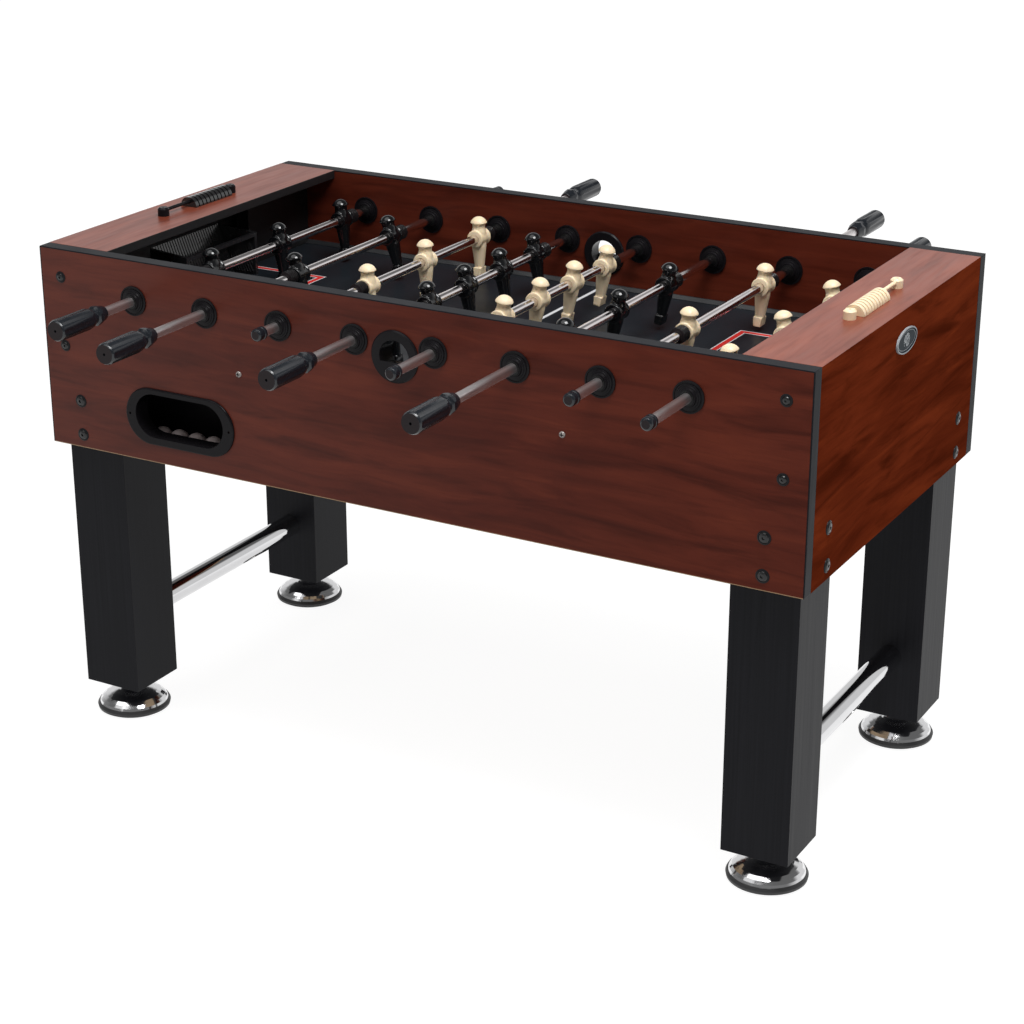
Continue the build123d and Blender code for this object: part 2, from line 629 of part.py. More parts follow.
def write_rod(index, parts):
    """The four nodes of one rod."""
    count, spacing, rest, side, tilt = RODS[index]
    name = f"rod{index + 1}"
    grip_tip, cap_tip = tips(count, spacing, rest, side)
    place = Pos(rod_x(index), 0, ROD_Z)
    grip_start = grip_tip - side * GRIP_LENGTH
    cap_start = cap_tip + side * CAP_LENGTH
    shaft_ends = (grip_start + side * GRIP_SOCKET, cap_start - side * CAP_SOCKET)
    tube = along_y(ROD_RADIUS, *shaft_ends) - along_y(ROD_BORE_RADIUS, *shaft_ends)
    save(f"{name}_shaft", place * tube)
    outer = outer_player(count, spacing)
    ys = [rest - outer + i * spacing for i in range(count)]
    save(f"{name}_men", *[place * Pos(0, y, 0) * Rot(0, tilt, 0) * parts["player"] for y in ys])
    held = place * Pos(0, grip_start, 0) * lay_y(parts["grip"], side)
    plugged = place * Pos(0, cap_start, 0) * lay_y(parts["cap"], -side)
    save(f"{name}_grip_and_cap", held, plugged)
    start = outer + HUB_HALF + GAP
    stops = [place * Pos(0, rest + way * start, 0) * lay_y(parts["bumper"], way) for way in (-1, 1)]
    save(f"{name}_bumpers", *stops)


# ---- scorers, badge -----------------------------------------------------------------------
SCORER_X = 637.0
SCORER_HALF = 98.0           # foot centres from the middle
SCORER_FOOT_RADIUS = 10.0
SCORER_FOOT_HEIGHT = 15.0
SCORER_FOOT_CHAMFER = 3.0
SCORER_SCREW_RADIUS = 2.2
SCORER_WIRE_RADIUS = 3.2
SCORER_WIRE_Z = TOP_Z + 9.0
BEADS = 10
BEAD_PITCH = 11.0
BEAD_RADIUS = 17.0
BEAD_STEP = 5.0              # how much smaller the neck between two beads is
BEAD_NECK = 3.0
BEAD_BORE_RADIUS = SCORER_WIRE_RADIUS + 0.3
LEFT_BEADS_START = -26.0
RIGHT_BEADS_START = -81.0
BADGE_Z = 811.0
BADGE_HALF_AXES = (42.0, 19.8)
BADGE_RIM = 2.6
BADGE_THICKNESS = 3.0
BADGE_RECESS = 1.0


def scorer_frame(end):
    """Two feet on the deck joined by a thin bar."""
    x = end * SCORER_X
    frame = along_y(SCORER_WIRE_RADIUS, -SCORER_HALF, SCORER_HALF, x, SCORER_WIRE_Z)
    shoulder = SCORER_FOOT_RADIUS - SCORER_FOOT_CHAMFER
    foot = turned([
        (0, 0), (SCORER_FOOT_RADIUS, 0), (SCORER_FOOT_RADIUS, SCORER_FOOT_HEIGHT - SCORER_FOOT_CHAMFER),
        (shoulder, SCORER_FOOT_HEIGHT), (0, SCORER_FOOT_HEIGHT),
    ])
    foot -= Pos(0, 0, SCORER_FOOT_HEIGHT) * Cylinder(SCORER_SCREW_RADIUS, 5)
    for way in (-1, 1):
        frame += Pos(x, way * SCORER_HALF, TOP_Z) * foot
    return frame


def bead_stack(end, start):
    """Ten half-round counters side by side, clear of the deck and running on the bar."""
    x = end * SCORER_X
    base = TOP_Z + GAP
    stop = start + BEADS * BEAD_PITCH
    stack = along_y(BEAD_RADIUS - BEAD_STEP, start, stop, x, base)
    for i in range(BEADS):
        y = start + i * BEAD_PITCH
        stack += along_y(BEAD_RADIUS, y, y + BEAD_PITCH - BEAD_NECK, x, base)
    below = block(x - 2 * BEAD_RADIUS, x + 2 * BEAD_RADIUS, start - 1, stop + 1, base - 2 * BEAD_RADIUS, base)
    return stack - below - along_y(BEAD_BORE_RADIUS, start - 1, stop + 1, x, SCORER_WIRE_Z)


def badge():
    """Plain oval plate with a raised rim on the right-hand end."""
    plane = Plane(origin=(HALF_L, 0, BADGE_Z), x_dir=(0, 1, 0), z_dir=(1, 0, 0))
    a, b = BADGE_HALF_AXES
    plate = extrude(plane * Ellipse(a, b), BADGE_THICKNESS)
    face = plane.offset(BADGE_THICKNESS - BADGE_RECESS)
    return plate - extrude(face * Ellipse(a - BADGE_RIM, b - BADGE_RIM), 2 * BADGE_RECESS)


# ---- legs ---------------------------------------------------------------------------------
STEM_RADIUS = 6.0
STEM_TOP_Z = LEG_BOTTOM_Z + 45.0
PAD_RADIUS = 65.0
PAD_HEIGHT = 14.0


def leg(sx, sy):
    """Hollow square leg with a solid plate in its foot."""
    place = Pos(sx * LEG_X, sy * LEG_Y, 0)
    height = LEG_TOP_Z - LEG_BOTTOM_Z
    body = Pos(0, 0, LEG_BOTTOM_Z + height / 2) * Box(LEG_WIDTH, LEG_WIDTH, height)
    inside = LEG_WIDTH - 2 * LEG_WALL
    body -= Pos(0, 0, LEG_BOTTOM_Z + LEG_FLOOR + height / 2) * Box(inside, inside, height)
    body -= Pos(0, 0, LEG_BOTTOM_Z) * Cylinder(STEM_RADIUS + RUN_CLEARANCE, 2 * LEG_FLOOR + 2)
    return place * body - side_holes() - end_holes()


def stretcher(sx):
    """Round tube between the front and back legs of one end."""
    reach = LEG_Y - LEG_WIDTH / 2
    tube = along_y(STRETCHER_RADIUS, -reach, reach, sx * LEG_X, STRETCHER_Z)
    return tube - along_y(STRETCHER_RADIUS - STRETCHER_WALL, -reach, reach, sx * LEG_X, STRETCHER_Z)


def leveller(sx, sy):
    """Domed levelling foot with its threaded stem, on a rubber pad."""
    place = Pos(sx * LEG_X, sy * LEG_Y, 0)
    r = PAD_RADIUS
    nut_top = LEG_BOTTOM_Z - GAP
    pad = turned([(0, 0), (r - 8, 0), (r - 1, 4), (r, 9), (r - 3, PAD_HEIGHT), (0, PAD_HEIGHT)])
    dome = turned([
        (0, PAD_HEIGHT), (r - 4, PAD_HEIGHT), (r - 6, 18), (r - 10, 22.5), (r - 16, 27), (r - 23, 30.5),
        (r - 30, 33), (26, 35), (21, 38), (18, 42), (18, nut_top), (STEM_RADIUS, nut_top),
        (STEM_RADIUS, STEM_TOP_Z), (0, STEM_TOP_Z),
    ])
    return [place * pad, place * dome]


# ---- write every node ---------------------------------------------------------------------
save("side_panel_front", side_panel(FRONT))
save("side_panel_back", side_panel(BACK))
save("edge_bands", *edge_bands())
save("end_panels", *end_panels())
save("end_decks", *end_decks())
save("end_walls", *end_walls())
save("playfield", playfield())
save("playfield_ramps", *playfield_ramps())
right_goal = goal()
save("goals", right_goal, mirror(right_goal, Plane.YZ))
save("ball_return_tray", return_tray())
save("ball_return_ramps", *return_boards())
save("balls", *balls())
save("serve_cups", serve_cup(FRONT), serve_cup(BACK))
save("bearing_housings", *on_every_bearing(bearing_housing()))
save("bearing_bushes", *on_every_bearing(bearing_bush()))
rod_parts = {"player": player(), "grip": grip(), "cap": cap(), "bumper": bumper()}
for number in range(len(RODS)):
    write_rod(number, rod_parts)
save("scorer_frame_left", scorer_frame(-1))
save("scorer_frame_right", scorer_frame(1))
save("beads_left", bead_stack(-1, LEFT_BEADS_START))
save("beads_right", bead_stack(1, RIGHT_BEADS_START))
save("badge", badge())
save("legs", *[leg(sx, sy) for sx, sy in CORNERS])
save("leg_stretchers", stretcher(-1), stretcher(1))
for sx, sy in CORNERS:
    where = ("front" if sy < 0 else "back") + ("_left" if sx < 0 else "_right")
    save(f"leveller_{where}", *leveller(sx, sy))
save("bolts", *all_bolts())
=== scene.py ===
"""Looks for the foosball table: procedural materials, softened players and edges, studio and camera.

Metres, in the CAD frame: +X along the table, +Y from the front to the back, +Z up, floor at Z = 0.
"""

import json
import math

import bpy
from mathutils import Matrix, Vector


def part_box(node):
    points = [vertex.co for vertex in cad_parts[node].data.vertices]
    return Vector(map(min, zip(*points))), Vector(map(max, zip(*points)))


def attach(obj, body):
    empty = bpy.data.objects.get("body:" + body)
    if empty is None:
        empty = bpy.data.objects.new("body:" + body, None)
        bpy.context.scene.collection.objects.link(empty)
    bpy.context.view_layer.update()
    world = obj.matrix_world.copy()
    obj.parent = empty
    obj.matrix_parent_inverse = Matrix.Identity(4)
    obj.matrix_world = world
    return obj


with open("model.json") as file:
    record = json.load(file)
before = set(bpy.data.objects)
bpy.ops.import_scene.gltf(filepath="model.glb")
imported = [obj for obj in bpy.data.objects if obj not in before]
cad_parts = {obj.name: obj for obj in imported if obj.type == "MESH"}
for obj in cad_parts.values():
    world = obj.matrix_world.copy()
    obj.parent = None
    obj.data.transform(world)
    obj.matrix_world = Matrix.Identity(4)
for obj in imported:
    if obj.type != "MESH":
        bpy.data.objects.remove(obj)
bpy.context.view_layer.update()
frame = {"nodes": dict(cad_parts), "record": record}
NODES = frame["nodes"]

# ---- places and sizes, the first ones from the frame --------------------------------------
# The rods stand out further at the back, so the cabinet's middle is forward of the frame's origin.
FRONT_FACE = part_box("side_panel_front")[0].y
BACK_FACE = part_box("side_panel_back")[1].y
CABINET_Y = (FRONT_FACE + BACK_FACE) / 2
HALF_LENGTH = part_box("edge_bands")[1].x
PANEL_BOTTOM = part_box("side_panel_front")[0].z
FIELD_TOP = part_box("playfield")[1].z

SAWN_EDGE = 0.0013           # how far the pale sawn edge shows up a long panel
DECK_WIDTH = 0.122           # from the cabinet's end to a deck's inner edge
STRIP_LAP = 0.0004           # how far the inner edge's black strip laps onto the deck
PAINTED_SHEEN_LEFT, PAINTED_SHEEN_RIGHT = -0.6, 0.5   # places along the table between which the painted sheen fades
# Along a rod, from the cabinet's middle: where its duller, handled end begins and where it is full.
WEAR_START, WEAR_FULL = 0.34, 0.37
PAD_TOP = 0.0141             # top of a levelling foot's rubber pad

SMALL_SCREW_REACH = 0.4      # bolts nearer the middle of the table than this are field screws
FIELD_SCREW_X = 0.295
FIELD_SCREW_Z = 0.701
CROSS_HALF_LENGTH = 0.0034   # arms of a field screw's cross slot
CROSS_HALF_WIDTH = 0.0009

LINE_WIDTH = 0.0095          # red line of a goal area
BORDER_WIDTH = 0.0021        # white border on each side of it
CENTRE_LINE_HALF = 0.0034
# The two painted goal areas: inner end, half width, and the end of the table they belong to.
GOAL_AREAS = ((0.474, 0.142, -1.0), (0.332, 0.208, 1.0))

BADGE_RIM = 0.0022
BADGE_LINE = 0.005           # from the badge's edge to its inner silver line
BADGE_BALL = (0.0125, 0.0115)

# Bolt heads on the cabinet: places, and each head's radius with its ring's.
PANEL_SCREW_X = 0.651
PANEL_SCREW_Z = (0.8135, 0.695)
PANEL_SCREW_RADII = (0.0065, 0.0098)
LEG_BOLT_X = 0.626           # on the long panels
LEG_BOLT_Y = 0.28            # on the ends, from the cabinet's middle
LEG_BOLT_Z = (0.601, 0.541)
LEG_BOLT_RADII = (0.0085, 0.0112)

PLAYER_VOXEL = 0.0009
GRIP_ARRIS = 0.0003
BOARD_ARRIS = 0.0007


# ---- node helpers -------------------------------------------------------------------------
class Graph:
    """A node tree, with short calls for the nodes used here."""

    def __init__(self, tree, place):
        self.tree = tree
        self.place = self.node("ShaderNodeTexCoord").outputs[place]
        self.bent_place = self.place

    def node(self, kind, **settings):
        made = self.tree.nodes.new(kind)
        for key, value in settings.items():
            setattr(made, key, value)
        return made

    def feed(self, socket, value):
        if isinstance(value, bpy.types.NodeSocket):
            self.tree.links.new(value, socket)
        else:
            socket.default_value = value

    def warp(self, scale, reach):
        """Bend every later texture by a slow wander of up to about half of reach."""
        wander = self.node("ShaderNodeTexNoise")
        self.feed(wander.inputs["Vector"], self.stretch(scale))
        wander.inputs["Scale"].default_value = 1.0
        bend = self.node("ShaderNodeVectorMath", operation="MULTIPLY_ADD")
        self.feed(bend.inputs[0], wander.outputs["Color"])
        bend.inputs[1].default_value = even(reach)
        self.feed(bend.inputs[2], self.place)
        self.bent_place = bend.outputs["Vector"]

    def stretch(self, scale, offset=(0, 0, 0)):
        mapping = self.node("ShaderNodeMapping")
        mapping.inputs["Scale"].default_value = scale
        mapping.inputs["Location"].default_value = offset
        self.feed(mapping.inputs["Vector"], self.bent_place)
        return mapping.outputs["Vector"]

    def noise(self, scale, detail=4.0, roughness=0.55, distortion=0.0, offset=(0, 0, 0)):
        made = self.node("ShaderNodeTexNoise")
        self.feed(made.inputs["Vector"], self.stretch(scale, offset))
        made.inputs["Scale"].default_value = 1.0
        made.inputs["Detail"].default_value = detail
        made.inputs["Roughness"].default_value = roughness
        made.inputs["Distortion"].default_value = distortion
        return made.outputs["Fac"]

    def ramp(self, value, low, high, out_low=0.0, out_high=1.0):
        """Linear step from out_low to out_high as value goes from low to high."""
        made = self.node("ShaderNodeMapRange")
        limits = {"From Min": low, "From Max": high, "To Min": out_low, "To Max": out_high}
        for name, number in limits.items():
            made.inputs[name].default_value = number
        self.feed(made.inputs["Value"], value)
        return made.outputs["Result"]

    def spread(self, noise, low, high):
        """Turn a noise, which mostly stays between 0.3 and 0.7, into low to high."""
        return self.ramp(noise, 0.3, 0.7, low, high)

    def math(self, operation, a, b=0.0):
        made = self.node("ShaderNodeMath", operation=operation)
        self.feed(made.inputs[0], a)
        self.feed(made.inputs[1], b)
        return made.outputs["Value"]

    def blend(self, share, a, b):
        """The number a where share is zero and b where it is one."""
        rest = self.math("MULTIPLY", a, self.math("SUBTRACT", 1.0, share))
        return self.math("ADD", rest, self.math("MULTIPLY", share, b))

    def mix(self, factor, a, b):
        """The colour a where factor is zero and b where it is one."""
        made = self.node("ShaderNodeMix", data_type="RGBA")
        self.feed(made.inputs["Factor"], factor)
        for socket, colour in ((made.inputs[6], a), (made.inputs[7], b)):
            self.feed(socket, colour if isinstance(colour, bpy.types.NodeSocket) else (*colour, 1.0))
        return made.outputs[2]

    def axis(self, letter):
        parts = self.node("ShaderNodeSeparateXYZ")
        self.feed(parts.inputs["Vector"], self.place)
        return parts.outputs[letter]

    def between(self, value, low, high):
        """One where value lies between low and high, else zero."""
        above = self.math("GREATER_THAN", value, low)
        return self.math("MULTIPLY", above, self.math("LESS_THAN", value, high))


class Finish(Graph):
    """A material built on one Principled shader."""

    def __init__(self, name):
        self.material = bpy.data.materials.new(name)
        self.material.use_nodes = True
        super().__init__(self.material.node_tree, "Object")
        self.shader = next(n for n in self.tree.nodes if n.type == "BSDF_PRINCIPLED")

    def set(self, **inputs):
        """Set the shader's sockets: roughness=0.4 sets Roughness, coat_weight sets Coat Weight."""
        for key, value in inputs.items():
            name = " ".join(word.capitalize() for word in key.split("_")).replace("Ior", "IOR")
            self.feed(self.shader.inputs[name], value)
        return self.material

    def bump(self, height, strength, distance):
        made = self.node("ShaderNodeBump")
        made.inputs["Strength"].default_value = strength
        made.inputs["Distance"].default_value = distance
        self.feed(made.inputs["Height"], height)
        self.feed(self.shader.inputs["Normal"], made.outputs["Normal"])


def along(axis, slow, fast):
    """Texture scale that is slow along the grain's axis and fast across it."""
    return tuple(slow if letter == axis else fast for letter in "XYZ")


def even(value):
    """The same number three times: a texture scale or a grey."""
    return (value, value, value)


def shaded(colour, factor, lift=0.0):
    """The colour made darker or lighter."""
    return tuple(c * factor + lift for c in colour)


# ---- materials ----------------------------------------------------------------------------
def laminate(name, axis, light, dark, roughness, specular, contrast=1.0, edge=None):
    """Printed mahogany foil: soft wavy figure, a few darker streaks and short fine pores.

    specular is one value, or a pair for the table's left and right ends, a painted sheen fading
    along the table. edge is "sawn" for a pale bottom edge or "black" for a strip on a deck's inner
    edge.
    """
    g = Finish(name)
    g.warp(even(2.6), 0.035)
    figure = g.noise(along(axis, 2.4, 15.0), detail=3.0, distortion=0.5)
    streaks = g.noise(along(axis, 4.6, 38.0), distortion=0.7, offset=(3.1, 1.7, 5.3))
    lines = g.noise(along(axis, 9.0, 120.0), detail=3.0, offset=(7.7, 2.3, 1.9))
    pores = g.noise(along(axis, 70.0, 1300.0), detail=2.0)
    deep = shaded(dark, 0.45)
    colour = g.mix(g.spread(figure, 0.0, 1.0), dark, light)
    colour = g.mix(g.ramp(streaks, 0.5, 0.72, 0.0, 0.7 * contrast), colour, deep)
    warm = tuple(c * factor for c, factor in zip(light, (1.3, 1.35, 1.2)))
    colour = g.mix(g.ramp(streaks, 0.46, 0.26, 0.0, 0.6 * contrast), colour, warm)
    colour = g.mix(g.ramp(lines, 0.52, 0.75, 0.0, 0.3), colour, deep)
    colour = g.mix(g.ramp(pores, 0.6, 0.75, 0.0, 0.22), colour, deep)
    if edge == "black":
        strip_limit = HALF_LENGTH - DECK_WIDTH + STRIP_LAP
        strip = g.math("LESS_THAN", g.math("ABSOLUTE", g.axis("X")), strip_limit)
        colour = g.mix(strip, colour, (0.012, 0.012, 0.013))
    elif edge == "sawn":
        sawn = g.math("LESS_THAN", g.axis("Z"), PANEL_BOTTOM + SAWN_EDGE)
        colour = g.mix(sawn, colour, (0.36, 0.23, 0.13))
    g.bump(lines, 0.05, 0.0003)
    rough = g.spread(lines, roughness - 0.03, roughness + 0.05)
    # A pair paints a sheen: the foil's reflection is made stronger towards one end of the table.
    if isinstance(specular, tuple):
        specular = g.ramp(g.axis("X"), PAINTED_SHEEN_LEFT, PAINTED_SHEEN_RIGHT, *specular)
    return g.set(base_color=colour, roughness=rough, specular_ior_level=specular)


def moulded(name, colour, roughness, grain=900.0, specular=0.5, depth=0.25, coat=0.0):
    """Injection-moulded plastic: a faint spark-eroded grain and slow change of tone."""
    g = Finish(name)
    fine = g.noise(even(grain), detail=2.0)
    slow = g.noise(even(14.0), detail=3.0)
    g.bump(fine, depth, 0.0002)
    return g.set(
        base_color=g.mix(slow, shaded(colour, 0.82), colour),
        roughness=g.spread(slow, roughness - 0.03, roughness + 0.05),
        specular_ior_level=specular,
        coat_weight=coat,
        coat_roughness=0.08,
    )


def chrome(name, colour, roughness, handled=0.0):
    """Polished plate, slightly uneven in tone and polish; handled adds wear outside the cabinet."""
    g = Finish(name)
    slow = g.noise(even(25.0), detail=2.0)
    rough = g.spread(slow, roughness, roughness + 0.03)
    if handled:
        reach = g.math("ABSOLUTE", g.math("SUBTRACT", g.axis("Y"), CABINET_Y))
        rough = g.math("ADD", rough, g.ramp(reach, WEAR_START, WEAR_FULL, 0.0, handled))
    tint = g.mix(slow, colour, shaded(colour, 0.92))
    return g.set(base_color=tint, metallic=1.0, roughness=rough)


def bolt_finish(name):
    """Black-oxide button heads; the small field screws are zinc, with painted shade in their cross
    slot.
    """
    g = Finish(name)
    across = g.math("ABSOLUTE", g.axis("X"))
    small = g.math("LESS_THAN", across, SMALL_SCREW_REACH)
    dx = g.math("ABSOLUTE", g.math("SUBTRACT", across, FIELD_SCREW_X))
    dz = g.math("ABSOLUTE", g.math("SUBTRACT", g.axis("Z"), FIELD_SCREW_Z))
    # Painted shade: a near-black cross on the zinc where the slot's recess lies in shade.
    near = g.math("LESS_THAN", g.math("MAXIMUM", dx, dz), CROSS_HALF_LENGTH)
    slot = g.math("MULTIPLY", near, g.math("LESS_THAN", g.math("MINIMUM", dx, dz), CROSS_HALF_WIDTH))
    wear = g.noise(even(300.0), detail=3.0)
    zinc = g.mix(wear, (0.24, 0.21, 0.2), (0.36, 0.33, 0.31))
    colour = g.mix(small, (0.007, 0.007, 0.0075), g.mix(slot, zinc, (0.01, 0.008, 0.007)))
    g.bump(wear, 0.08, 0.0002)
    return g.set(base_color=colour, roughness=g.spread(wear, 0.2, 0.28), specular_ior_level=0.42)


def foot_finish(name):
    """Chrome dome and stem over a black rubber pad, split at the pad's top."""
    g = Finish(name)
    pad = g.math("LESS_THAN", g.axis("Z"), PAD_TOP)
    marks = g.noise((90.0, 90.0, 400.0), detail=2.0)
    return g.set(
        base_color=g.mix(pad, (0.78, 0.78, 0.79), (0.022, 0.022, 0.023)),
        metallic=g.math("SUBTRACT", 1.0, pad),
        roughness=g.math("ADD", g.spread(marks, 0.1, 0.14), g.math("MULTIPLY", pad, 0.4)),
    )


def field_finish(name):
    """Dark playing board with its painted centre line and goal-area boxes."""
    g = Finish(name)
    x = g.axis("X")
    y = g.math("ABSOLUTE", g.math("SUBTRACT", g.axis("Y"), CABINET_Y))
    # One on the playing surface, zero on the board's edges and in its holes.
    flat = g.math("GREATER_THAN", g.axis("Z"), FIELD_TOP - 0.0001)

    def area(inner_x, half, direction, grow):
        """One inside a goal area that is grown by grow on every side, else zero."""
        reach = g.math("MULTIPLY", x, direction)
        beyond = g.math("GREATER_THAN", reach, inner_x - grow)
        return g.math("MULTIPLY", beyond, g.math("LESS_THAN", y, half + grow))

    def outline(goal_area, half_width):
        """One on the area's outline, out to half_width on both sides of it."""
        return g.math("SUBTRACT", area(*goal_area, half_width), area(*goal_area, -half_width))

    red = white = 0.0
    for goal_area in GOAL_AREAS:
        red = g.math("ADD", red, outline(goal_area, LINE_WIDTH / 2))
        white = g.math("ADD", white, outline(goal_area, LINE_WIDTH / 2 + BORDER_WIDTH))
    white = g.math("ADD", white, g.math("LESS_THAN", g.math("ABSOLUTE", x), CENTRE_LINE_HALF))
    grain = g.noise(even(9.0), detail=6.0, roughness=0.7)
    speck = g.noise(even(420.0), detail=2.0)
    board = g.mix(grain, (0.007, 0.0096, 0.013), (0.0108, 0.0145, 0.019))
    board = g.mix(g.ramp(speck, 0.55, 0.7, 0.0, 0.2), board, (0.02, 0.023, 0.027))
    colour = g.mix(g.math("MULTIPLY", white, flat), board, (0.62, 0.63, 0.64))
    colour = g.mix(g.math("MULTIPLY", red, flat), colour, (0.62, 0.03, 0.025))
    g.bump(speck, 0.12, 0.0002)
    return g.set(base_color=colour, roughness=g.spread(grain, 0.34, 0.44), specular_ior_level=0.4)


def rubber(name, colour, roughness, specular):
    """Black rubber, glossy along its flutes and ribs and duller and browner on its cut end faces."""
    g = Finish(name)
    dust = g.noise(even(120.0), roughness=0.7)
    fine = g.noise(even(1400.0), detail=2.0)
    normal = g.node("ShaderNodeSeparateXYZ")
    g.feed(normal.inputs["Vector"], g.node("ShaderNodeTexCoord").outputs["Normal"])
    end_face = g.ramp(g.math("ABSOLUTE", normal.outputs["Y"]), 0.93, 0.98)
    g.bump(fine, 0.04, 0.0002)
    shade = g.mix(g.ramp(dust, 0.45, 0.75), colour, shaded(colour, 1.2, 0.001))
    return g.set(
        base_color=g.mix(end_face, shade, (0.024, 0.0185, 0.02)),
        roughness=g.spread(dust, roughness, roughness + 0.06),
        specular_ior_level=g.ramp(end_face, 0.0, 1.0, specular, 0.1),
    )


def cream(name, roughness):
    """Warm ivory plastic that lets a little light in."""
    g = Finish(name)
    slow = g.noise(even(38.0))
    fine = g.noise(even(700.0), detail=2.0)
    g.bump(fine, 0.12, 0.0002)
    return g.set(
        base_color=g.mix(slow, (0.85, 0.67, 0.435), (0.93, 0.775, 0.55)),
        roughness=g.spread(slow, roughness - 0.03, roughness + 0.06),
        subsurface_weight=0.12,
        subsurface_radius=(0.006, 0.004, 0.002),
        specular_ior_level=0.45,
    )


def black_laminate(name, axis, colour, roughness, specular):
    """Black-stained foil on the legs and inner walls, with a fine straight grain."""
    g = Finish(name)
    lines = g.noise(along(axis, 3.0, 210.0), roughness=0.6)
    slow = g.noise(even(5.0), detail=3.0)
    pale = shaded(colour, 1.5, 0.001)
    tone = g.math("MULTIPLY", g.ramp(lines, 0.35, 0.7), g.ramp(slow, 0.25, 0.8, 0.5, 1.0))
    g.bump(lines, 0.12, 0.0003)
    rough = g.spread(lines, roughness - 0.04, roughness + 0.06)
    return g.set(base_color=g.mix(tone, colour, pale), roughness=rough, specular_ior_level=specular)


def bare_board(name):
    """Unpainted chipboard, out of sight below the field."""
    g = Finish(name)
    chips = g.node("ShaderNodeTexVoronoi")
    g.feed(chips.inputs["Vector"], g.stretch((260.0, 420.0, 260.0)))
    chips.inputs["Scale"].default_value = 1.0
    tone = g.ramp(chips.outputs["Distance"], 0.0, 0.9)
    g.bump(tone, 0.2, 0.0004)
    return g.set(base_color=g.mix(tone, (0.34, 0.22, 0.12), (0.5, 0.36, 0.21)), roughness=0.7)


def badge_finish(name):
    """Dark blue-grey oval inside a thin silver rim, with a silver ball of dark seams in the middle."""
    g = Finish(name)
    low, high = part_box("badge")
    half_y, half_z = (high.y - low.y) / 2, (high.z - low.z) / 2
    dy = g.math("SUBTRACT", g.axis("Y"), (low.y + high.y) / 2)
    dz = g.math("SUBTRACT", g.axis("Z"), (low.z + high.z) / 2)

    def oval(half_across, half_up):
        """Zero in the middle, one on an oval of these half axes."""
        across = g.math("POWER", g.math("DIVIDE", dy, half_across), 2.0)
        upward = g.math("POWER", g.math("DIVIDE", dz, half_up), 2.0)
        return g.math("SQRT", g.math("ADD", across, upward))

    rim = g.math("GREATER_THAN", oval(half_y - BADGE_RIM, half_z - BADGE_RIM), 1.0)
    line = g.between(oval(half_y - BADGE_LINE, half_z - BADGE_LINE), 0.955, 1.0)
    ball = g.math("LESS_THAN", oval(*BADGE_BALL), 1.0)
    patches = g.node("ShaderNodeTexVoronoi", feature="DISTANCE_TO_EDGE")
    g.feed(patches.inputs["Vector"], g.stretch(even(150.0)))
    patches.inputs["Scale"].default_value = 1.0
    seams = g.math("GREATER_THAN", patches.outputs["Distance"], 0.07)
    brush = g.noise((900.0, 12.0, 900.0), detail=3.0)
    silver = g.math("MAXIMUM", rim, g.math("MAXIMUM", line, g.math("MULTIPLY", ball, seams)))
    field = g.mix(brush, (0.012, 0.019, 0.027), (0.02, 0.03, 0.041))
    colour = g.mix(silver, field, (0.36, 0.38, 0.4))
    g.bump(brush, 0.1, 0.0002)
    return g.set(base_color=colour, roughness=g.spread(brush, 0.28, 0.36), specular_ior_level=0.02)


SIDE_LIGHT, SIDE_DARK = (0.125, 0.0225, 0.011), (0.084, 0.0132, 0.0065)
END_LIGHT, END_DARK = (0.175, 0.0285, 0.009), (0.105, 0.0158, 0.0052)
DECK_LIGHT, DECK_DARK = (0.235, 0.053, 0.026), (0.17, 0.035, 0.0175)
BAND_BLACK = (0.0155, 0.0165, 0.0195)
STRIP_BLACK = (0.016, 0.017, 0.019)
BOARD_BLACK = (0.009, 0.009, 0.0095)
LEG_BLACK = (0.0088, 0.009, 0.0112)
MOULDING_BLACK = (0.0095, 0.0085, 0.01)
NYLON_BLACK = (0.008, 0.008, 0.0085)
BEAD_BLACK = (0.006, 0.006, 0.0065)
PLAYER_BLACK = (0.004, 0.0044, 0.0055)
GRIP_BLACK = (0.0075, 0.0098, 0.0138)
RUBBER_BLACK = (0.006, 0.006, 0.0066)
GOAL_BLACK = (0.014, 0.014, 0.0155)
RING_BLACK = (0.013, 0.0135, 0.015)
BALL_PINK = (0.66, 0.56, 0.55)
TUBE_CHROME = (0.71, 0.71, 0.72)
ROD_CHROME = (0.86, 0.81, 0.81)

